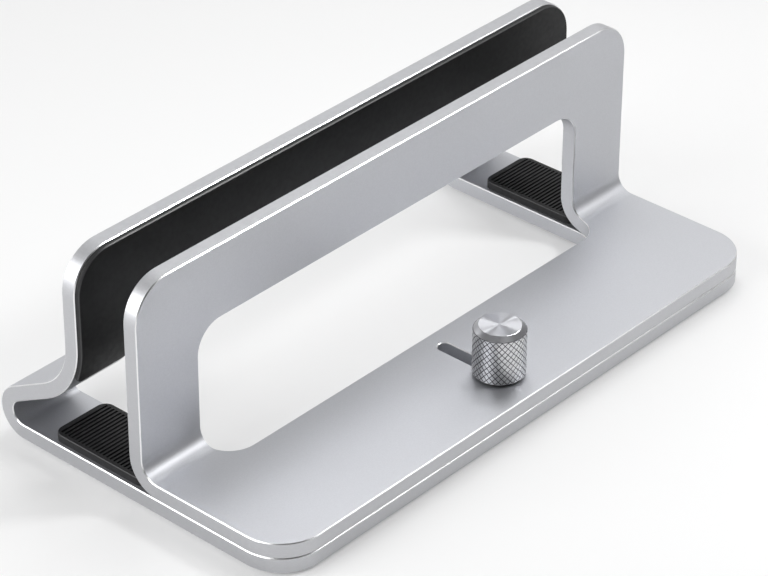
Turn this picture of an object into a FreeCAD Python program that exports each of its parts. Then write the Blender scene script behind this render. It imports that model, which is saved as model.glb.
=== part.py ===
import FreeCAD, Part
import math
import os
import re
import Sketcher

# Vertical laptop stand: a folded sheet base with a fixed rear wall, a sliding front jaw, and a
# knurled thumbscrew that clamps the jaw. Silicone pads line the walls and the rails.
# +X runs along the walls, the thumbscrew side faces -Y, +Z is up.
# The origin is on the surface that the stand rests on, under the middle of its footprint.

# Driving dimensions, millimetres and degrees
DIMENSIONS = {
    "length": 200,
    "depth": 105.2,
    "plate": 4.65,
    "wall_rise": 67.1,
    "wall_corner": 12,
    "front_corner": 13.3,
    "edge_break": 0.25,
    "jaw_wall_set_back": 50.9,
    "wall_gap": 18,
    "jaw_bend": 5.3,
    "curl_radius": 3.6,
    "shelf_angle": 28.3,
    "rear_bend": 18,
    "rear_bend_outside": 24.6,
    "leg_width": 22,
    "window_rise": 44.9,
    "window_front": 40,
    "window_radius": 8.5,
    "wall_pad_thick": 1.35,
    "wall_pad_margin": 0.4,
    "wall_pad_wrap": 28,
    "wall_pad_outer_radius": 2.5,
    "wall_pad_inner_radius": 5.5,
    "front_pad_margin": 1.6,
    "front_pad_rise": 18.5,
    "pad_edge_break": 0.3,
    "rail_pad_front": 52,
    "rail_pad_rear": 86.3,
    "rail_pad_margin": 1.2,
    "rail_pad_thick": 2.4,
    "rail_pad_corner": 3.2,
    "rib_pitch": 1.33,
    "rib_groove": 0.66,
    "rib_depth": 0.5,
    "rib_rim": 1.3,
    "foot_proud": 0.8,
    "foot_corner": 3,
    "front_foot_long": 56,
    "front_foot_wide": 13,
    "front_foot_inset": 16,
    "rear_foot_long": 38,
    "rear_foot_wide": 14,
    "rear_foot_start": 50,
    "screw_set_back": 13.3,
    "screw_travel": 19.5,
    "slot_play": 0.1,
    "stud_diameter": 4,
    "stud_break": 0.4,
    "thread_play": 0.05,
    "insert_diameter": 6.4,
    "insert_flange": 9,
    "flange_thick": 1,
    "washer_thick": 0.6,
    "washer_diameter": 13,
    "knob_diameter": 15,
    "knob_height": 15.5,
    "knob_face_diameter": 12,
    "knob_bevel": 1.4,
    "knob_break": 0.4,
    "knob_bore_depth": 9,
}

# Heights and places that several pieces share, as formulas over the dimensions
FRONT = "(-depth / 2)"
UNDERSIDE = "foot_proud"
BASE_TOP = "(foot_proud + plate)"
JAW_TOP = "(foot_proud + 2 * plate)"
WALL_TOP = "(foot_proud + wall_rise)"
WINDOW_TOP = "(foot_proud + window_rise)"
WINDOW_SPRING = "(foot_proud + window_rise - window_radius)"
WINDOW_HALF = "(length / 2 - leg_width)"
WINDOW_FRONT_LINE = "(window_front - depth / 2)"
JAW_FACE = "(jaw_wall_set_back - depth / 2)"
JAW_BACK = "(jaw_wall_set_back + plate - depth / 2)"
REAR_FACE = "(jaw_wall_set_back + plate + wall_gap - depth / 2)"
REAR_BACK = "(jaw_wall_set_back + 2 * plate + wall_gap - depth / 2)"
CURL_Y = "(depth / 2 - curl_radius - plate)"
CURL_Z = "(foot_proud + plate + curl_radius)"
CURL_OUTER = "(curl_radius + plate)"
BEND_Y = "(jaw_wall_set_back + 2 * plate + wall_gap - depth / 2 + rear_bend)"
SINE = "sin(shelf_angle)"
COSINE = "cos(shelf_angle)"
BEND_Z = f"({CURL_Z} + ({CURL_OUTER} + rear_bend - {SINE} * ({BEND_Y} - {CURL_Y})) / {COSINE})"
# The bend's outer side is a little rounder than the inner one, as the sheet thins where it is bent
OUTSIDE_Y = "(jaw_wall_set_back + plate + wall_gap - depth / 2 + rear_bend_outside)"
OUTSIDE_Z = (f"({CURL_Z} + (curl_radius + rear_bend_outside - {SINE} * ({OUTSIDE_Y} - {CURL_Y}))"
             f" / {COSINE})")
JAW_BEND_Y = f"({JAW_FACE} - jaw_bend)"
JAW_BEND_Z = f"({JAW_TOP} + jaw_bend)"
JAW_BEND_OUTER = "(jaw_bend + plate)"
SCREW_Y = "(screw_set_back - depth / 2)"
WASHER_TOP = "(foot_proud + 2 * plate + washer_thick)"
KNOB_TOP = "(foot_proud + 2 * plate + washer_thick + knob_height)"
BORE_TOP = "(foot_proud + 2 * plate + washer_thick + knob_bore_depth)"

MARGIN = 5
SHARP_ANGLE = 20

os.makedirs("parts", exist_ok=True)
doc = FreeCAD.newDocument("laptop_stand")
sheet = doc.addObject("Spreadsheet::Sheet", "Dimensions")
for row, (alias, size) in enumerate(DIMENSIONS.items(), start=1):
    sheet.set(f"A{row}", alias)
    sheet.set(f"B{row}", str(size))
    sheet.setAlias(f"B{row}", alias)
doc.recompute()


def value(formula):
    """The present size of a formula over the sheet's names."""
    return float(sheet.evalExpression(str(formula)))


def linked(formula):
    """The same formula with each sheet name written as a reference to its cell."""
    def cell(match):
        word = match.group()
        return f"Dimensions.{word}" if word in DIMENSIONS else word
    return re.sub(r"[a-z_]+", cell, str(formula))


def bind(item, **formulas):
    """Tie properties of a feature to formulas over the sheet."""
    for name, formula in formulas.items():
        item.setExpression(name, linked(formula))


def new_body(label):
    body = doc.addObject("PartDesign::Body", label)
    body.Label = label
    return body


def new_sketch(body, name, plane):
    sketch = body.newObject("Sketcher::SketchObject", name)
    origin_plane = [item for item in body.Origin.OriginFeatures if item.Role == plane]
    sketch.AttachmentSupport = [(origin_plane[0], "")]
    sketch.MapMode = "FlatFace"
    return sketch


def hold(sketch, geometry, vertex, direction, formula):
    """Tie one coordinate of a vertex, measured from the sketch's origin, to a formula."""
    size = value(formula)
    index = sketch.addConstraint(Sketcher.Constraint(direction, -1, 1, geometry, vertex, size))
    sketch.setExpression(f"Constraints[{index}]", linked(formula))


def pin(sketch, geometry, vertex, across, up):
    hold(sketch, geometry, vertex, "DistanceX", across)
    hold(sketch, geometry, vertex, "DistanceY", up)


def line_to(across, up):
    return {"to": (across, up)}


def arc_to(across, up, radius, centre, turn):
    """A round stretch; turn is 1 for anticlockwise and -1 for clockwise."""
    return {"to": (across, up), "radius": radius, "centre": centre, "turn": turn}


def outline(sketch, start, steps):
    """Draw a closed outline from start through the steps; the last step ends at start."""
    points = [start] + [step["to"] for step in steps[:-1]]
    ends = []
    for index, step in enumerate(steps):
        first = points[index]
        last = points[(index + 1) % len(points)]
        here = FreeCAD.Vector(value(first[0]), value(first[1]), 0)
        there = FreeCAD.Vector(value(last[0]), value(last[1]), 0)
        if "radius" not in step:
            geometry = sketch.addGeometry(Part.LineSegment(here, there))
            ends.append((geometry, 1, 2))
            continue
        centre = FreeCAD.Vector(value(step["centre"][0]), value(step["centre"][1]), 0)
        if step["turn"] < 0:
            here, there = there, here
        angles = [math.atan2(point.y - centre.y, point.x - centre.x) for point in (here, there)]
        circle = Part.Circle(centre, FreeCAD.Vector(0, 0, 1), value(step["radius"]))
        geometry = sketch.addGeometry(Part.ArcOfCircle(circle, angles[0], angles[1]))
        ends.append((geometry, 1, 2) if step["turn"] > 0 else (geometry, 2, 1))
        chord = there - here
        if abs(chord.y) > abs(chord.x):
            hold(sketch, geometry, 3, "DistanceX", step["centre"][0])
        else:
            hold(sketch, geometry, 3, "DistanceY", step["centre"][1])
    for index, (geometry, first_vertex, last_vertex) in enumerate(ends):
        following = ends[(index + 1) % len(ends)]
        sketch.addConstraint(
            Sketcher.Constraint("Coincident", geometry, last_vertex, following[0], following[1])
        )
        pin(sketch, geometry, first_vertex, *points[index])


def circle(sketch, across, up, radius):
    centre = FreeCAD.Vector(value(across), value(up), 0)
    normal = FreeCAD.Vector(0, 0, 1)
    geometry = sketch.addGeometry(Part.Circle(centre, normal, value(radius)))
    pin(sketch, geometry, 3, across, up)
    index = sketch.addConstraint(Sketcher.Constraint("Radius", geometry, value(radius)))
    sketch.setExpression(f"Constraints[{index}]", linked(radius))


def rectangle(sketch, left, low, right, high):
    outline(sketch, (left, low), [
        line_to(right, low),
        line_to(right, high),
        line_to(left, high),
        line_to(left, low),
    ])


def rounded_rectangle(sketch, left, low, right, high, radius):
    outline(sketch, (f"{left} + {radius}", low), [
        line_to(f"{right} - {radius}", low),
        arc_to(right, f"{low} + {radius}", radius,
               (f"{right} - {radius}", f"{low} + {radius}"), 1),
        line_to(right, f"{high} - {radius}"),
        arc_to(f"{right} - {radius}", high, radius,
               (f"{right} - {radius}", f"{high} - {radius}"), 1),
        line_to(f"{left} + {radius}", high),
        arc_to(left, f"{high} - {radius}", radius,
               (f"{left} + {radius}", f"{high} - {radius}"), 1),
        line_to(left, f"{low} + {radius}"),
        arc_to(f"{left} + {radius}", low, radius,
               (f"{left} + {radius}", f"{low} + {radius}"), 1),
    ])


def arch(sketch, half, low, high, radius):
    """A window with square lower corners and rounded upper ones."""
    outline(sketch, (f"-{half}", low), [
        line_to(half, low),
        line_to(half, f"{high} - {radius}"),
        arc_to(f"{half} - {radius}", high, radius, (f"{half} - {radius}", f"{high} - {radius}"), 1),
        line_to(f"{radius} - {half}", high),
        arc_to(f"-{half}", f"{high} - {radius}", radius,
               (f"{radius} - {half}", f"{high} - {radius}"), 1),
        line_to(f"-{half}", low),
    ])


def slot_outline(sketch, across, low, high, radius):
    """A slot along the sketch's second axis, from one end's centre to the other's."""
    outline(sketch, (f"{across} + {radius}", low), [
        line_to(f"{across} + {radius}", high),
        arc_to(f"{across} - {radius}", high, radius, (across, high), 1),
        line_to(f"{across} - {radius}", low),
        arc_to(f"{across} + {radius}", low, radius, (across, low), 1),
    ])


def pad(body, sketch, length, symmetric=False):
    feature = body.newObject("PartDesign::Pad", f"{sketch.Name}_pad")
    feature.Profile = sketch
    feature.SideType = "Symmetric" if symmetric else "One side"
    bind(feature, Length=length)
    doc.recompute()
    return feature


def pocket(body, sketch, length=None, upward=False):
    """Cut a sketch out, by a length or, with no length, right through both ways."""
    before = body.Shape.Volume
    feature = body.newObject("PartDesign::Pocket", f"{sketch.Name}_cut")
    feature.Profile = sketch
    if length is None:
        feature.Type = "ThroughAll"
        feature.SideType = "Symmetric"
    else:
        feature.Reversed = upward
        bind(feature, Length=length)
    doc.recompute()
    if body.Shape.Volume >= before:
        raise RuntimeError(f"{feature.Name} cuts nothing")
    return feature


def turned(body, sketch):
    feature = body.newObject("PartDesign::Revolution", f"{sketch.Name}_turned")
    feature.Profile = sketch
    feature.ReferenceAxis = (sketch, ["V_Axis"])
    doc.recompute()
    return feature


def normal_at(face, point):
    return face.normalAt(*face.Surface.parameter(point))


def edge_names(shape, wanted):
    """Names of the edges that wanted accepts, given the edge's middle and its end points."""
    names = []
    for index, edge in enumerate(shape.Edges, start=1):
        middle = edge.valueAt((edge.FirstParameter + edge.LastParameter) / 2)
        if wanted(edge, middle):
            names.append(f"Edge{index}")
    return names


def is_sharp(shape, edge, middle):
    faces = shape.ancestorsOfType(edge, Part.Face)
    if len(faces) < 2:
        return False
    angle = normal_at(faces[0], middle).getAngle(normal_at(faces[1], middle))
    return math.degrees(angle) > SHARP_ANGLE


def dress(body, kind, names, **formulas):
    """Add a fillet or a chamfer to named edges of the body so far."""
    base = body.Tip
    feature = body.newObject(kind, f"{body.Name}_{kind.split('::')[1].lower()}")
    feature.Base = (base, names)
    bind(feature, **formulas)
    doc.recompute()
    return feature


def fillet(body, wanted, radius):
    return dress(body, "PartDesign::Fillet", edge_names(body.Shape, wanted), Radius=radius)


def chamfer(body, wanted, size):
    shape = body.Shape
    names = edge_names(shape, lambda edge, middle: wanted(edge, middle) and is_sharp(shape, edge, middle))
    return dress(body, "PartDesign::Chamfer", names, Size=size)


def along(edge, axis):
    """Whether a straight edge runs along one axis."""
    if edge.Curve.TypeId != "Part::GeomLine":
        return False
    return abs(edge.tangentAt(edge.FirstParameter)[axis]) > math.cos(math.radians(1))


def near(first, second):
    return abs(first - second) < 0.01


def round_sheet_corners(body):
    """The upper corners of the wall and the front corners of the flat."""
    half = value("length / 2")
    top = value(WALL_TOP)
    front = value(FRONT)
    fillet(body, lambda edge, middle: along(edge, 1) and near(abs(middle.x), half)
           and near(middle.z, top), "wall_corner")
    fillet(body, lambda edge, middle: along(edge, 2) and near(abs(middle.x), half)
           and near(middle.y, front), "front_corner")


def make_base_frame():
    body = new_body("base_frame")
    section = new_sketch(body, "base_section", "YZ_Plane")
    outline(section, (FRONT, UNDERSIDE), [
        line_to(CURL_Y, UNDERSIDE),
        arc_to(f"{CURL_Y} + {CURL_OUTER} * {SINE}", f"{CURL_Z} + {CURL_OUTER} * {COSINE}",
               CURL_OUTER, (CURL_Y, CURL_Z), 1),
        line_to(f"{BEND_Y} - rear_bend * {SINE}", f"{BEND_Z} - rear_bend * {COSINE}"),
        arc_to(REAR_BACK, BEND_Z, "rear_bend", (BEND_Y, BEND_Z), -1),
        line_to(REAR_BACK, WALL_TOP),
        line_to(REAR_FACE, WALL_TOP),
        line_to(REAR_FACE, OUTSIDE_Z),
        arc_to(f"{OUTSIDE_Y} - rear_bend_outside * {SINE}",
               f"{OUTSIDE_Z} - rear_bend_outside * {COSINE}",
               "rear_bend_outside", (OUTSIDE_Y, OUTSIDE_Z), 1),
        line_to(f"{CURL_Y} + curl_radius * {SINE}", f"{CURL_Z} + curl_radius * {COSINE}"),
        arc_to(CURL_Y, BASE_TOP, "curl_radius", (CURL_Y, CURL_Z), -1),
        line_to(FRONT, BASE_TOP),
        line_to(FRONT, UNDERSIDE),
    ])
    pad(body, section, "length", symmetric=True)
    window = new_sketch(body, "base_window", "XY_Plane")
    rounded_rectangle(window, f"-{WINDOW_HALF}", WINDOW_FRONT_LINE, WINDOW_HALF,
                      f"(depth / 2 + window_radius + {MARGIN})", "window_radius")
    pocket(body, window, WINDOW_SPRING, upward=True)
    wall_window = new_sketch(body, "rear_wall_window", "XZ_Plane")
    arch(wall_window, WINDOW_HALF, f"{WINDOW_SPRING} - edge_break", WINDOW_TOP, "window_radius")
    pocket(body, wall_window)
    hole = new_sketch(body, "insert_hole", "XY_Plane")
    circle(hole, "0", SCREW_Y, "insert_diameter / 2")
    pocket(body, hole, BASE_TOP + " + edge_break", upward=True)
    seat = new_sketch(body, "insert_seat", "XY_Plane")
    circle(seat, "0", SCREW_Y, "insert_flange / 2")
    pocket(body, seat, f"{UNDERSIDE} + flange_thick", upward=True)
    round_sheet_corners(body)
    screw_reach = value("insert_flange")
    screw_y = value(SCREW_Y)
    chamfer(body, lambda edge, middle: math.hypot(middle.x, middle.y - screw_y) > screw_reach,
            "edge_break")
    return body


def make_front_jaw():
    body = new_body("front_jaw")
    section = new_sketch(body, "jaw_section", "YZ_Plane")
    outline(section, (FRONT, BASE_TOP), [
        line_to(JAW_BEND_Y, BASE_TOP),
        arc_to(JAW_BACK, JAW_BEND_Z, JAW_BEND_OUTER, (JAW_BEND_Y, JAW_BEND_Z), 1),
        line_to(JAW_BACK, WALL_TOP),
        line_to(JAW_FACE, WALL_TOP),
        line_to(JAW_FACE, JAW_BEND_Z),
        arc_to(JAW_BEND_Y, JAW_TOP, "jaw_bend", (JAW_BEND_Y, JAW_BEND_Z), -1),
        line_to(FRONT, JAW_TOP),
        line_to(FRONT, BASE_TOP),
    ])
    pad(body, section, "length", symmetric=True)
    window = new_sketch(body, "jaw_window", "XY_Plane")
    rounded_rectangle(window, f"-{WINDOW_HALF}", WINDOW_FRONT_LINE, WINDOW_HALF,
                      f"({JAW_BACK} + window_radius + {MARGIN})", "window_radius")
    pocket(body, window, WINDOW_SPRING, upward=True)
    wall_window = new_sketch(body, "jaw_wall_window", "XZ_Plane")
    arch(wall_window, WINDOW_HALF, f"{WINDOW_SPRING} - edge_break", WINDOW_TOP, "window_radius")
    pocket(body, wall_window)
    slot = new_sketch(body, "screw_slot", "XY_Plane")
    slot_outline(slot, "0", f"{SCREW_Y} - slot_play", f"{SCREW_Y} + screw_travel + slot_play",
                 "(stud_diameter / 2 + slot_play)")
    pocket(body, slot, f"{JAW_TOP} + edge_break", upward=True)
    round_sheet_corners(body)
    chamfer(body, lambda edge, middle: True, "edge_break")
    return body


def make_rear_wall_pad():
    """The arch of silicone on the rear wall, whose legs follow the bend at their feet."""
    body = new_body("rear_wall_pad")
    outer = "(rear_bend_outside + wall_pad_thick)"
    face = f"({REAR_FACE} - wall_pad_thick)"
    top = f"({WALL_TOP} - wall_pad_margin)"
    sine, cosine = "sin(wall_pad_wrap)", "cos(wall_pad_wrap)"
    section = new_sketch(body, "rear_pad_section", "YZ_Plane")
    outline(section, (face, OUTSIDE_Z), [
        arc_to(f"{OUTSIDE_Y} - {outer} * {cosine}", f"{OUTSIDE_Z} - {outer} * {sine}", outer,
               (OUTSIDE_Y, OUTSIDE_Z), 1),
        line_to(f"{OUTSIDE_Y} - rear_bend_outside * {cosine}",
                f"{OUTSIDE_Z} - rear_bend_outside * {sine}"),
        arc_to(REAR_FACE, OUTSIDE_Z, "rear_bend_outside", (OUTSIDE_Y, OUTSIDE_Z), -1),
        line_to(REAR_FACE, top),
        line_to(face, top),
        line_to(face, OUTSIDE_Z),
    ])
    pad(body, section, "length - 2 * wall_pad_margin", symmetric=True)
    window = new_sketch(body, "rear_pad_window", "XZ_Plane")
    arch(window, f"({WINDOW_HALF} + wall_pad_margin)", UNDERSIDE,
         f"({WINDOW_TOP} + wall_pad_margin)", "window_radius")
    pocket(body, window)
    finish_wall_pad(body, face, "wall_pad_margin")
    return body


def make_front_wall_pad():
    body = new_body("front_wall_pad")
    face = f"({JAW_BACK} + wall_pad_thick)"
    top = f"({WALL_TOP} - front_pad_margin)"
    bottom = f"({UNDERSIDE} + front_pad_rise)"
    section = new_sketch(body, "front_pad_section", "YZ_Plane")
    rectangle(section, JAW_BACK, bottom, face, top)
    pad(body, section, "length - 2 * front_pad_margin", symmetric=True)
    window = new_sketch(body, "front_pad_window", "XZ_Plane")
    arch(window, f"({WINDOW_HALF} + front_pad_margin)", UNDERSIDE,
         f"({WINDOW_TOP} + front_pad_margin)", "window_radius")
    pocket(body, window)
    finish_wall_pad(body, face, "front_pad_margin")
    return body


def finish_wall_pad(body, face, margin):
    """Round the corners of the arch and soften the edge of its gripping face."""
    face_y = value(face)
    top = value(f"{WALL_TOP} - {margin}")
    reach = value("wall_pad_thick")
    fillet(body, lambda edge, middle: along(edge, 1) and near(middle.z, top),
           f"wall_corner - {margin}")
    leg_middle = value("(length - leg_width) / 2")
    for outside, radius in ((True, "wall_pad_outer_radius"), (False, "wall_pad_inner_radius")):
        fillet(body, lambda edge, middle: near(edge.Length, reach) and middle.z < value(OUTSIDE_Z)
               and (abs(middle.x) > leg_middle) == outside, radius)
    chamfer(body, lambda edge, middle: near(middle.y, face_y), "pad_edge_break")


def make_rail_pad(label, side):
    """A ribbed silicone pad on one rail; side is -1 for left and 1 for right."""
    body = new_body(label)
    near_end = f"({WINDOW_HALF} + rail_pad_margin)"
    far_end = "(length / 2 - rail_pad_margin)"
    left, right = (near_end, far_end) if side > 0 else (f"(-{far_end})", f"(-{near_end})")
    front, rear = "(rail_pad_front - depth / 2)", "(rail_pad_rear - depth / 2)"
    plan = new_sketch(body, f"{label}_plan", "XY_Plane")
    rounded_rectangle(plan, left, front, right, rear, "rail_pad_corner")
    bind(plan, **{"AttachmentOffset.Base.z": BASE_TOP})
    pad(body, plan, "rail_pad_thick")
    top = value(f"{BASE_TOP} + rail_pad_thick")
    fillet(body, lambda edge, middle: near(middle.z, top), "pad_edge_break")
    groove = new_sketch(body, f"{label}_groove", "XY_Plane")
    rectangle(groove, f"{left} + rib_rim", f"{front} + rib_rim",
              f"{right} - rib_rim", f"{front} + rib_rim + rib_groove")
    bind(groove, **{"AttachmentOffset.Base.z": f"{BASE_TOP} + rail_pad_thick"})
    cut = pocket(body, groove, "rib_depth")
    span = value(f"{rear} - {front} - 2 * rib_rim - rib_groove")
    ribs = body.newObject("PartDesign::LinearPattern", f"{label}_ribs")
    ribs.Originals = [cut]
    ribs.Direction = (plan, ["V_Axis"])
    ribs.Mode = "Spacing"
    ribs.Occurrences = int(span / value("rib_pitch")) + 1
    bind(ribs, Offset="rib_pitch")
    body.Tip = ribs
    doc.recompute()
    return body


def make_foot(label, left, front, right, rear):
    """A thin silicone foot stuck under the base."""
    body = new_body(label)
    plan = new_sketch(body, f"{label}_plan", "XY_Plane")
    rounded_rectangle(plan, left, front, right, rear, "foot_corner")
    pad(body, plan, "foot_proud")
    return body


def make_feet():
    front_low = f"({SCREW_Y} - front_foot_wide / 2)"
    front_high = f"({SCREW_Y} + front_foot_wide / 2)"
    inner = "(length / 2 - front_foot_inset - front_foot_long)"
    outer = "(length / 2 - front_foot_inset)"
    rail_low = "(length / 2 - leg_width / 2 - rear_foot_wide / 2)"
    rail_high = "(length / 2 - leg_width / 2 + rear_foot_wide / 2)"
    rear_low = "(rear_foot_start - depth / 2)"
    rear_high = "(rear_foot_start + rear_foot_long - depth / 2)"
    return [
        make_foot("foot_front_left", f"(-{outer})", front_low, f"(-{inner})", front_high),
        make_foot("foot_front_right", inner, front_low, outer, front_high),
        make_foot("foot_rear_left", f"(-{rail_high})", rear_low, f"(-{rail_low})", rear_high),
        make_foot("foot_rear_right", rail_low, rear_low, rail_high, rear_high),
    ]


def turned_piece(label, steps):
    """A turned piece on the thumbscrew's axis, from its half section (radius, height)."""
    body = new_body(label)
    section = new_sketch(body, f"{label}_section", "XZ_Plane")
    outline(section, steps[0], [line_to(*point) for point in steps[1:] + steps[:1]])
    turned(body, section)
    bind(body, **{"Placement.Base.y": SCREW_Y})
    doc.recompute()
    return body


def make_thread_insert():
    bore = "(stud_diameter / 2 + thread_play)"
    return turned_piece("thread_insert", [
        (bore, UNDERSIDE),
        ("insert_flange / 2", UNDERSIDE),
        ("insert_flange / 2", f"{UNDERSIDE} + flange_thick"),
        ("insert_diameter / 2", f"{UNDERSIDE} + flange_thick"),
        ("insert_diameter / 2", BASE_TOP),
        (bore, BASE_TOP),
    ])


def make_stud():
    radius = "(stud_diameter / 2)"
    return turned_piece("thumbscrew_stud", [
        ("0", UNDERSIDE),
        (f"{radius} - stud_break", UNDERSIDE),
        (radius, f"{UNDERSIDE} + stud_break"),
        (radius, BORE_TOP),
        ("0", BORE_TOP),
    ])


def make_washer():
    bore = "(stud_diameter / 2 + thread_play)"
    return turned_piece("clamp_washer", [
        (bore, JAW_TOP),
        ("washer_diameter / 2", JAW_TOP),
        ("washer_diameter / 2", WASHER_TOP),
        (bore, WASHER_TOP),
    ])


def make_knob():
    return turned_piece("thumbscrew_knob", [
        ("stud_diameter / 2", WASHER_TOP),
        ("knob_diameter / 2 - knob_break", WASHER_TOP),
        ("knob_diameter / 2", f"{WASHER_TOP} + knob_break"),
        ("knob_diameter / 2", f"{KNOB_TOP} - knob_bevel"),
        ("knob_face_diameter / 2", KNOB_TOP),
        ("0", KNOB_TOP),
        ("0", BORE_TOP),
        ("stud_diameter / 2", BORE_TOP),
    ])


bodies = [
    make_base_frame(),
    make_thread_insert(),
    make_rear_wall_pad(),
    make_rail_pad("rail_pad_left", -1),
    make_rail_pad("rail_pad_right", 1),
    *make_feet(),
    make_front_jaw(),
    make_front_wall_pad(),
    make_washer(),
    make_stud(),
    make_knob(),
]
doc.recompute()

for item in doc.Objects:
    if "Invalid" in item.State or "Error" in item.State:
        raise RuntimeError(f"{item.Name} failed: {item.State}")
for body in bodies:
    if body.Shape.isNull() or not body.Shape.isValid() or len(body.Shape.Solids) != 1:
        raise RuntimeError(f"{body.Label} has no single valid solid")
for body in bodies:
    body.Shape.exportStep(f"parts/{body.Label}.step")
    box = body.Shape.BoundBox
    print(f"{body.Label}: {box.XLength:.2f} x {box.YLength:.2f} x {box.ZLength:.2f},"
          f" {body.Shape.Volume / 1000:.2f} cm3")
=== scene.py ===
import math

import bmesh
import bpy
from mathutils import Matrix, Vector


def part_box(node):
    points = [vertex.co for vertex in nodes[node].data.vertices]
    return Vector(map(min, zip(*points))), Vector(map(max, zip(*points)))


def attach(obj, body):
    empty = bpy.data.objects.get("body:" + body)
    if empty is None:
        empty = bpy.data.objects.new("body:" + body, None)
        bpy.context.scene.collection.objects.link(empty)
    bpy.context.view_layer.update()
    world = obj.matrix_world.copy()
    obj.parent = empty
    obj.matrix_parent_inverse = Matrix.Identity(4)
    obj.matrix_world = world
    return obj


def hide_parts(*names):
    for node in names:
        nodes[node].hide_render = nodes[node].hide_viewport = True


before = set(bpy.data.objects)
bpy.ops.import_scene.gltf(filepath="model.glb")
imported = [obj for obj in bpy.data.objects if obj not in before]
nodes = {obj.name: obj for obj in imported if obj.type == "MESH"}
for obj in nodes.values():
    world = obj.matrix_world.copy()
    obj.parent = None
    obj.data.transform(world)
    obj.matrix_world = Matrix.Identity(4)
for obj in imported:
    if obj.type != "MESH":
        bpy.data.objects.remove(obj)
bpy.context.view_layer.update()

MM = 0.001

# The camera's place, direction and lens, worked out from the photograph
CAMERA_PLACE = Vector((-580.3, -515.1, 517.6)) * MM
CAMERA_AZIMUTH = math.radians(48.24)
CAMERA_ELEVATION = math.radians(32.62)
CAMERA_ROLL = math.radians(0.2)
CAMERA_LENS = 154.7
CAMERA_SENSOR = 36.0
CAMERA_NEAR = 10 * MM

# The base's sheet and the jaw's, which lies on it
base_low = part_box("base_frame")[0]
jaw_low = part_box("front_jaw")[0]
SHEET = jaw_low.z - base_low.z

# How far back each sheet's flat reaches, how high its top is, and the height above which it is wall
FLAT_END = {"base_frame": 44.0 * MM, "front_jaw": -7.2 * MM}
FLAT_TOP = {"base_frame": base_low.z + SHEET, "front_jaw": jaw_low.z + SHEET}
WALL_START = {"base_frame": 40.2 * MM, "front_jaw": 15.2 * MM}

# How far from the middle the sheets' openings reach, and how near the top or front the outline is
OPENING_REACH = 78.5 * MM
RIM = 0.3 * MM

# The size of one part of a face's normal that counts as none, as a slant, and as all of it
NORMAL_NONE = 0.1
NORMAL_SLANT = 0.3
NORMAL_ALL = 0.95
NORMAL_ALL_PAD = 0.85

# The knob's knurl: diamonds round the band, half rows up it, and the share of each that is flat
KNURL_COLUMNS = 28
KNURL_ROWS = 15
KNURL_DEPTH = 0.25 * MM
KNURL_LAND = 0.83
KNURL_STEPS = 2 * KNURL_COLUMNS

# The knob's plain parts: the rim below the band, the bevel above it, and the face with its edge
KNOB_RIM = 0.55 * MM
KNOB_FOOT_TAPER = 0.4 * MM
KNOB_FOOT_RISE = 0.35 * MM
KNOB_BEVEL = 1.4 * MM
KNOB_CAP_STEP = 0.12 * MM
KNOB_FACE_RADIUS = 6.0 * MM
KNOB_EDGE_DROP = 0.12 * MM
KNOB_EDGE_OUT = 0.1 * MM
KNOB_EDGE_IN = 0.05 * MM
KNOB_RING_STEPS = 2 * KNURL_STEPS
WELD = 0.002 * MM

# The stud's thread, and how finely its mesh is stepped
THREAD_PITCH = 0.7 * MM
THREAD_DEPTH = 0.35 * MM
THREAD_STEPS = 6
THREAD_SIDES = 24

# The levels between which a noise mostly lies
NOISE_LOW = 0.3
NOISE_HIGH = 0.7

# The floor, which looks white where no shadow falls
FLOOR_SIZE = 6.0
FLOOR_DROP = 0.05 * MM
FLOOR_ALBEDO = 0.68
FLOOR_ROUGHNESS = 0.9
FLOOR_GLOW = 0.22

# The room, from its bright side at the back, right and overhead to its dark front
WORLD_BRIGHT_SIDE = (0.451, 0.752, 0.481)
WORLD_BRIGHT = 0.82
WORLD_DARK = 0.05
WORLD_DARK_FROM = -0.2


def new_material(name, metallic=0.0):
    """A material with its node tree and shader."""
    material = bpy.data.materials.new(name)
    material.use_nodes = True
    tree = material.node_tree
    shader = tree.nodes["Principled BSDF"]
    shader.inputs["Metallic"].default_value = metallic
    return material, tree, shader


def add_node(tree, kind, **settings):
    node = tree.nodes.new(kind)
    for name, setting in settings.items():
        setattr(node, name, setting)
    return node


def object_point(tree, scale=(1, 1, 1)):
    """The piece's own coordinates, stretched by a scale."""
    place = add_node(tree, "ShaderNodeTexCoord")
    mapping = add_node(tree, "ShaderNodeMapping")
    mapping.inputs["Scale"].default_value = scale
    tree.links.new(place.outputs["Object"], mapping.inputs["Vector"])
    return mapping.outputs["Vector"]


def noise(tree, point, scale, detail=2.0):
    texture = add_node(tree, "ShaderNodeTexNoise")
    texture.inputs["Scale"].default_value = scale
    texture.inputs["Detail"].default_value = detail
    tree.links.new(point, texture.inputs["Vector"])
    return texture.outputs["Fac"]


def tint(tree, shader, source, dark, light):
    """Vary the base colour between two colours with a noise."""
    ramp = add_node(tree, "ShaderNodeValToRGB")
    ramp.color_ramp.elements[0].position = NOISE_LOW
    ramp.color_ramp.elements[0].color = (*dark, 1)
    ramp.color_ramp.elements[1].position = NOISE_HIGH
    ramp.color_ramp.elements[1].color = (*light, 1)
    tree.links.new(source, ramp.inputs["Fac"])
    tree.links.new(ramp.outputs["Color"], shader.inputs["Base Color"])


def roughen(tree, shader, source, smooth, rough):
    """Vary the roughness between two values with a noise."""
    node = add_node(tree, "ShaderNodeMapRange")
    node.inputs["From Min"].default_value = NOISE_LOW
    node.inputs["From Max"].default_value = NOISE_HIGH
    node.inputs["To Min"].default_value = smooth
    node.inputs["To Max"].default_value = rough
    tree.links.new(source, node.inputs["Value"])
    tree.links.new(node.outputs["Result"], shader.inputs["Roughness"])


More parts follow.
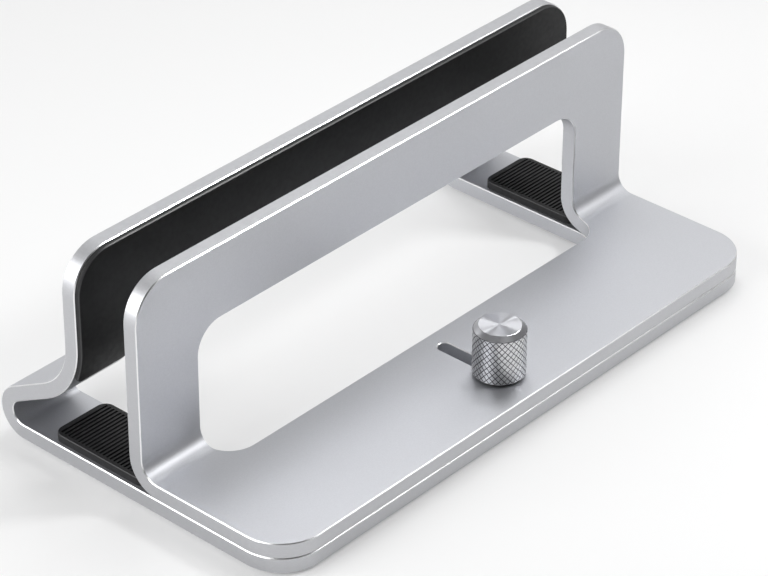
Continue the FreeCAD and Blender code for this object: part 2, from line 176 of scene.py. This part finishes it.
def bump(tree, shader, source, distance, strength):
    """Give the surface a fine grain with a noise."""
    node = add_node(tree, "ShaderNodeBump")
    node.inputs["Distance"].default_value = distance
    node.inputs["Strength"].default_value = strength
    tree.links.new(source, node.inputs["Height"])
    tree.links.new(node.outputs["Normal"], shader.inputs["Normal"])


def blasted_aluminium():
    """Fine bead-blasted and anodised sheet."""
    material, tree, shader = new_material("blasted_aluminium", metallic=1.0)
    point = object_point(tree)
    tint(tree, shader, noise(tree, point, 2600.0),
         dark=(0.56, 0.568, 0.595), light=(0.59, 0.598, 0.625))
    roughen(tree, shader, noise(tree, point, 35.0), smooth=0.50, rough=0.53)
    bump(tree, shader, noise(tree, point, 5500.0), distance=0.012 * MM, strength=0.35)
    return material


def cut_aluminium():
    """Milled edges, with the same finish all round and fine lines along the cut."""
    material, tree, shader = new_material("cut_aluminium", metallic=1.0)
    lines = noise(tree, object_point(tree, scale=(0.2, 0.2, 1)), 4000.0, detail=3.0)
    tint(tree, shader, lines, dark=(0.53, 0.535, 0.555), light=(0.57, 0.575, 0.595))
    roughen(tree, shader, lines, smooth=0.36, rough=0.42)
    return material


def polished_edge():
    """Bright diamond-cut edge breaks."""
    material, tree, shader = new_material("polished_edge", metallic=1.0)
    point = object_point(tree)
    tint(tree, shader, noise(tree, point, 300.0), dark=(0.92, 0.92, 0.93), light=(0.97, 0.97, 0.975))
    roughen(tree, shader, noise(tree, point, 300.0), smooth=0.30, rough=0.36)
    return material


def silicone():
    """Matte black silicone with a very fine moulded grain."""
    material, tree, shader = new_material("black_silicone")
    shader.inputs["Specular IOR Level"].default_value = 0.35
    point = object_point(tree)
    tint(tree, shader, noise(tree, point, 120.0),
         dark=(0.009, 0.009, 0.010), light=(0.013, 0.013, 0.014))
    roughen(tree, shader, noise(tree, point, 700.0), smooth=0.50, rough=0.60)
    bump(tree, shader, noise(tree, point, 5000.0), distance=0.02 * MM, strength=0.5)
    return material


def silicone_edge_painted_highlight():
    """The pads' moulded edge, a little shinier than their faces, with a lighter colour that paints a
    highlight on it.
    """
    material, tree, shader = new_material("silicone_edge_painted_highlight")
    point = object_point(tree)
    tint(tree, shader, noise(tree, point, 300.0),
         dark=(0.040, 0.040, 0.042), light=(0.052, 0.052, 0.054))
    roughen(tree, shader, noise(tree, point, 700.0), smooth=0.32, rough=0.38)
    return material


def nylon():
    """The washer's black plastic."""
    material, tree, shader = new_material("black_nylon")
    point = object_point(tree)
    tint(tree, shader, noise(tree, point, 400.0),
         dark=(0.008, 0.008, 0.008), light=(0.014, 0.014, 0.014))
    roughen(tree, shader, noise(tree, point, 900.0), smooth=0.45, rough=0.6)
    return material


def plated_steel():
    """The stud's and the insert's bright plating."""
    material, tree, shader = new_material("plated_steel", metallic=1.0)
    point = object_point(tree)
    tint(tree, shader, noise(tree, point, 500.0), dark=(0.48, 0.48, 0.50), light=(0.58, 0.58, 0.60))
    roughen(tree, shader, noise(tree, point, 2500.0), smooth=0.25, rough=0.38)
    return material


def turned_aluminium():
    """The knob's turned faces, whose rings throw the light out in rays."""
    material, tree, shader = new_material("turned_aluminium", metallic=1.0)
    shader.inputs["Anisotropic"].default_value = 1.0
    rays = add_node(tree, "ShaderNodeTangent", direction_type="RADIAL", axis="Z")
    tree.links.new(rays.outputs["Tangent"], shader.inputs["Tangent"])
    point = object_point(tree)
    tint(tree, shader, noise(tree, point, 90.0), dark=(0.57, 0.575, 0.60), light=(0.61, 0.615, 0.64))
    roughen(tree, shader, noise(tree, point, 70.0), smooth=0.33, rough=0.35)
    return material


def knurled_aluminium():
    """The rolled diamonds of the knob, brighter than its turned faces."""
    material, tree, shader = new_material("knurled_aluminium", metallic=1.0)
    point = object_point(tree)
    tint(tree, shader, noise(tree, point, 1200.0), dark=(0.61, 0.615, 0.63), light=(0.73, 0.735, 0.75))
    roughen(tree, shader, noise(tree, point, 900.0), smooth=0.28, rough=0.36)
    return material


def painted_shade_knurl_groove():
    """The knurl's groove sides and bottoms, made darker than the lands as painted shade."""
    material, tree, shader = new_material("painted_shade_knurl_groove", metallic=1.0)
    point = object_point(tree)
    tint(tree, shader, noise(tree, point, 900.0), dark=(0.15, 0.15, 0.16), light=(0.21, 0.21, 0.22))
    roughen(tree, shader, noise(tree, point, 900.0), smooth=0.40, rough=0.48)
    return material


BLASTED = blasted_aluminium()
CUT = cut_aluminium()
POLISHED = polished_edge()
SILICONE = silicone()
SILICONE_EDGE_HIGHLIGHT = silicone_edge_painted_highlight()
NYLON = nylon()
STEEL = plated_steel()
TURNED = turned_aluminium()
KNURLED = knurled_aluminium()
GROOVE_PAINTED_SHADE = painted_shade_knurl_groove()


def paint(mesh, *materials):
    """Give a mesh its material slots."""
    mesh.materials.clear()
    for material in materials:
        mesh.materials.append(material)


def finish_sheet(name):
    """Give a folded sheet its blasted faces, cut outline and bright edge breaks."""
    mesh = nodes[name].data
    paint(mesh, BLASTED, CUT, POLISHED)
    blasted, cut, polished = range(3)
    low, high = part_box(name)
    for face in mesh.polygons:
        normal, centre = face.normal, face.center
        across = abs(normal.x)
        on_wall = centre.z > WALL_START[name]
        on_flat = centre.z < FLAT_TOP[name] + RIM and centre.y < FLAT_END[name]
        straight = on_wall or on_flat
        through = abs(normal.y) if on_wall else abs(normal.z)
        in_opening = (abs(centre.x) < OPENING_REACH and centre.z < high.z - RIM
                      and centre.y > low.y + RIM)
        if straight and through < NORMAL_NONE or across > NORMAL_ALL:
            face.material_index = blasted if in_opening else cut
        elif straight and NORMAL_SLANT < through < NORMAL_ALL or NORMAL_SLANT < across < NORMAL_ALL:
            face.material_index = polished


def finish_pad(name):
    """Give a pad or foot its silicone, with shinier edges on the pads whose lighter colour is a painted
    highlight.
    """
    mesh = nodes[name].data
    paint(mesh, SILICONE, SILICONE_EDGE_HIGHLIGHT)
    plain, edge = range(2)
    for face in mesh.polygons:
        most = max(abs(part) for part in face.normal)
        # the edges' lighter colour is a painted highlight; on the rail pads only the upward-facing edges
        # take it
        wall_highlight_edge = (name.endswith("wall_pad") and most < NORMAL_ALL_PAD
                     and abs(face.normal.y) > NORMAL_SLANT)
        rail_highlight_edge = name.startswith("rail_pad") and most < NORMAL_ALL and face.normal.z > NORMAL_SLANT
        face.material_index = edge if wall_highlight_edge or rail_highlight_edge else plain


for name in ("base_frame", "front_jaw"):
    finish_sheet(name)
for name in ("rear_wall_pad", "front_wall_pad", "rail_pad_left", "rail_pad_right",
             "foot_front_left", "foot_front_right", "foot_rear_left", "foot_rear_right"):
    finish_pad(name)
paint(nodes["clamp_washer"].data, NYLON)
paint(nodes["thumbscrew_stud"].data, STEEL)
paint(nodes["thread_insert"].data, STEEL)
paint(nodes["thumbscrew_knob"].data, TURNED)


class Draft:
    """A mesh in the making: its points, its faces, and the finish of each face."""

    def __init__(self):
        self.points = []
        self.faces = []
        self.finishes = []

    def add_points(self, new):
        """Add points, and return the number of the first."""
        start = len(self.points)
        self.points.extend(new)
        return start

    def add_ring(self, radius, height, steps):
        """Add a level ring of points, and return the number of the first."""
        turn = 2 * math.pi / steps
        return self.add_points([(radius * math.cos(turn * step), radius * math.sin(turn * step), height)
                                for step in range(steps)])

    def add_face(self, corners, finish):
        self.faces.append(corners)
        self.finishes.append(finish)


def add_diamonds(draft, radius, band_low, band_high):
    """Rows of flat-topped diamonds, each second row half a diamond on, with grooves between them."""
    root = radius - KNURL_DEPTH
    corners = [(1, 0), (0, 1), (-1, 0), (0, -1)]

    def lattice(column, row, reach):
        angle = 2 * math.pi * column / KNURL_STEPS
        level = band_low + (band_high - band_low) * row / (KNURL_ROWS - 1)
        return (reach * math.cos(angle), reach * math.sin(angle),
                min(max(level, band_low), band_high))

    for row in range(KNURL_ROWS):
        for column in range(row % 2, KNURL_STEPS, 2):
            top = draft.add_points([lattice(column + KNURL_LAND * side, row + KNURL_LAND * rise, radius)
                                    for side, rise in corners])
            foot = draft.add_points([lattice(column + side, row + rise, root) for side, rise in corners])
            draft.add_face([top, top + 1, top + 3], KNURLED)
            draft.add_face([top + 1, top + 2, top + 3], KNURLED)
            for corner in range(len(corners)):
                after = (corner + 1) % len(corners)
                # the groove walls take the dark material, which paints the shade in the grooves
                draft.add_face([foot + corner, foot + after, top + after, top + corner], GROOVE_PAINTED_SHADE)


def add_turned_ends(draft, root, height, band_low, band_high):
    """The turned foot and cap, whose rings have two points for each one that they meet on the band."""
    count = KNOB_RING_STEPS
    foot = [draft.add_ring(reach, level, count) for reach, level in
            ((root - KNOB_FOOT_TAPER, 0), (root, KNOB_FOOT_RISE))]
    cap = [draft.add_ring(reach, level, count) for reach, level in
           ((root, band_high + KNOB_CAP_STEP),
            (KNOB_FACE_RADIUS + KNOB_EDGE_OUT, height - KNOB_EDGE_DROP),
            (KNOB_FACE_RADIUS - KNOB_EDGE_IN, height))]
    for below, above in [foot] + list(zip(cap, cap[1:])):
        for step in range(count):
            after = (step + 1) % count
            draft.add_face([below + step, below + after, above + after, above + step], TURNED)
    band_foot = draft.add_ring(root, band_low, KNURL_STEPS)
    band_top = draft.add_ring(root, band_high, KNURL_STEPS)
    for column in range(KNURL_STEPS):
        beside = (column + 1) % KNURL_STEPS
        double = (2 * column + 2) % count
        draft.add_face([foot[1] + 2 * column, foot[1] + 2 * column + 1, foot[1] + double,
                        band_foot + beside, band_foot + column], TURNED)
        draft.add_face([band_top + column, band_top + beside, cap[0] + double,
                        cap[0] + 2 * column + 1, cap[0] + 2 * column], TURNED)
    draft.add_face([foot[0] + step for step in reversed(range(count))], TURNED)
    draft.add_face([cap[-1] + step for step in range(count)], TURNED)


def add_piece(name, mesh, low, high):
    """Stand a new piece in the middle of a node's box."""
    piece = bpy.data.objects.new(name, mesh)
    bpy.context.scene.collection.objects.link(piece)
    centre = (low + high) / 2
    piece.location = (centre.x, centre.y, low.z)
    return piece


def make_knob():
    """The thumbscrew's head: a foot rim, a band of rolled diamonds, and a bevelled turned cap."""
    low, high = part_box("thumbscrew_knob")
    radius = (high.x - low.x) / 2
    height = high.z - low.z
    band_low, band_high = KNOB_RIM, height - KNOB_BEVEL
    draft = Draft()
    add_diamonds(draft, radius, band_low, band_high)
    add_turned_ends(draft, radius - KNURL_DEPTH, height, band_low, band_high)

    mesh = bpy.data.meshes.new("knurled_knob")
    mesh.from_pydata(draft.points, [], draft.faces)
    finishes = [TURNED, KNURLED, GROOVE_PAINTED_SHADE]
    paint(mesh, *finishes)
    for face, finish in zip(mesh.polygons, draft.finishes):
        face.material_index = finishes.index(finish)
    whole = bmesh.new()
    whole.from_mesh(mesh)
    bmesh.ops.remove_doubles(whole, verts=whole.verts, dist=WELD)
    bmesh.ops.recalc_face_normals(whole, faces=whole.faces)
    whole.to_mesh(mesh)
    whole.free()
    knob = add_piece("knurled_knob", mesh, low, high)
    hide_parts("thumbscrew_knob")
    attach(knob, "thumbscrew")


def make_stud():
    """The thumbscrew's stud with its thread, whose crests stay inside the plain stud."""
    low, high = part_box("thumbscrew_stud")
    radius = (high.x - low.x) / 2
    levels = round((high.z - low.z) / THREAD_PITCH * THREAD_STEPS)
    points = []
    for level in range(levels + 1):
        height = (high.z - low.z) * level / levels
        for step in range(THREAD_SIDES):
            turn = step / THREAD_SIDES
            phase = (height / THREAD_PITCH - turn) % 1.0
            reach = radius - THREAD_DEPTH * abs(2 * phase - 1)
            angle = 2 * math.pi * turn
            points.append((reach * math.cos(angle), reach * math.sin(angle), height))
    faces = [list(reversed(range(THREAD_SIDES)))]
    for level in range(levels):
        start = level * THREAD_SIDES
        for step in range(THREAD_SIDES):
            after = (step + 1) % THREAD_SIDES
            faces.append([start + step, start + after,
                          start + after + THREAD_SIDES, start + step + THREAD_SIDES])
    faces.append([levels * THREAD_SIDES + step for step in range(THREAD_SIDES)])
    mesh = bpy.data.meshes.new("threaded_stud")
    mesh.from_pydata(points, [], faces)
    paint(mesh, STEEL)
    stud = add_piece("threaded_stud", mesh, low, high)
    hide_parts("thumbscrew_stud")
    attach(stud, "thumbscrew")


def seen_white(tree):
    """1 for camera, glossy and transmission rays, by which the floor is seen, and 0 for its light."""
    path = add_node(tree, "ShaderNodeLightPath")
    total = path.outputs["Is Camera Ray"]
    for kind in ("Is Glossy Ray", "Is Transmission Ray"):
        both = add_node(tree, "ShaderNodeMath", operation="MAXIMUM")
        tree.links.new(total, both.inputs[0])
        tree.links.new(path.outputs[kind], both.inputs[1])
        total = both.outputs["Value"]
    return total


def make_floor():
    """A pale floor that shows as white where no shadow falls."""
    bpy.ops.mesh.primitive_plane_add(size=FLOOR_SIZE, location=(0, 0, -FLOOR_DROP))
    floor = bpy.context.object
    floor.name = "floor"
    material, tree, shader = new_material("pale_floor")
    shader.inputs["Base Color"].default_value = (FLOOR_ALBEDO, FLOOR_ALBEDO, FLOOR_ALBEDO, 1)
    shader.inputs["Roughness"].default_value = FLOOR_ROUGHNESS
    shader.inputs["Specular IOR Level"].default_value = 0.0
    glow = add_node(tree, "ShaderNodeMath", operation="MULTIPLY")
    glow.inputs[1].default_value = FLOOR_GLOW
    tree.links.new(seen_white(tree), glow.inputs[0])
    shader.inputs["Emission Color"].default_value = (1, 1, 1, 1)
    tree.links.new(glow.outputs["Value"], shader.inputs["Emission Strength"])
    paint(floor.data, material)


def make_world():
    """A soft room, brighter at the back right and overhead than in front."""
    world = bpy.data.worlds.new("studio")
    world.use_nodes = True
    bpy.context.scene.world = world
    tree = world.node_tree
    background = tree.nodes["Background"]
    background.inputs["Color"].default_value = (1, 1, 1, 1)
    place = add_node(tree, "ShaderNodeTexCoord")
    facing = add_node(tree, "ShaderNodeVectorMath", operation="DOT_PRODUCT")
    facing.inputs[1].default_value = WORLD_BRIGHT_SIDE
    level = add_node(tree, "ShaderNodeMapRange")
    level.inputs["From Min"].default_value = WORLD_DARK_FROM
    level.inputs["To Min"].default_value = WORLD_DARK
    level.inputs["To Max"].default_value = WORLD_BRIGHT
    tree.links.new(place.outputs["Generated"], facing.inputs[0])
    tree.links.new(facing.outputs["Value"], level.inputs["Value"])
    tree.links.new(level.outputs["Result"], background.inputs["Strength"])


def add_softbox(name, place, aim, width, depth, power):
    """A rectangular lamp that faces a point, in metres and watts."""
    data = bpy.data.lights.new(name, "AREA")
    data.shape = "RECTANGLE"
    data.size = width
    data.size_y = depth
    data.energy = power
    lamp = bpy.data.objects.new(name, data)
    bpy.context.scene.collection.objects.link(lamp)
    lamp.location = place
    lamp.rotation_euler = (Vector(aim) - Vector(place)).to_track_quat("-Z", "Y").to_euler()


def add_camera():
    """A camera at the photograph's viewing angle."""
    data = bpy.data.cameras.new("camera")
    data.lens = CAMERA_LENS
    data.sensor_width = CAMERA_SENSOR
    data.clip_start = CAMERA_NEAR
    camera = bpy.data.objects.new("camera", data)
    bpy.context.scene.collection.objects.link(camera)
    turn = Matrix.Rotation(-CAMERA_AZIMUTH, 4, "Z")
    tilt = Matrix.Rotation(math.pi / 2 - CAMERA_ELEVATION, 4, "X")
    roll = Matrix.Rotation(CAMERA_ROLL, 4, "Z")
    camera.matrix_world = Matrix.Translation(CAMERA_PLACE) @ turn @ tilt @ roll
    bpy.context.scene.camera = camera


make_knob()
make_stud()
make_floor()
make_world()
add_softbox("left key", place=(-0.85, 0.35, 0.38), aim=(0, 0, 0), width=0.8, depth=0.65, power=6.0)
add_softbox("left high", place=(-0.7, -0.02, 0.52), aim=(0, 0, 0), width=0.22, depth=0.22, power=0.8)
add_softbox("overhead", place=(0.17, 0.09, 0.5), aim=(-0.05, 0, 0), width=0.24, depth=0.2, power=0.67)
add_softbox("right side", place=(2.1, 0.5, 1.25), aim=(0, 0, 0), width=1.3, depth=0.9, power=3.5)
add_softbox("front right", place=(0.24, -0.27, 0.37), aim=(-0.08, 0, 0),
            width=0.09, depth=0.09, power=0.92)
add_camera()
bpy.context.scene.view_settings.view_transform = "Standard"
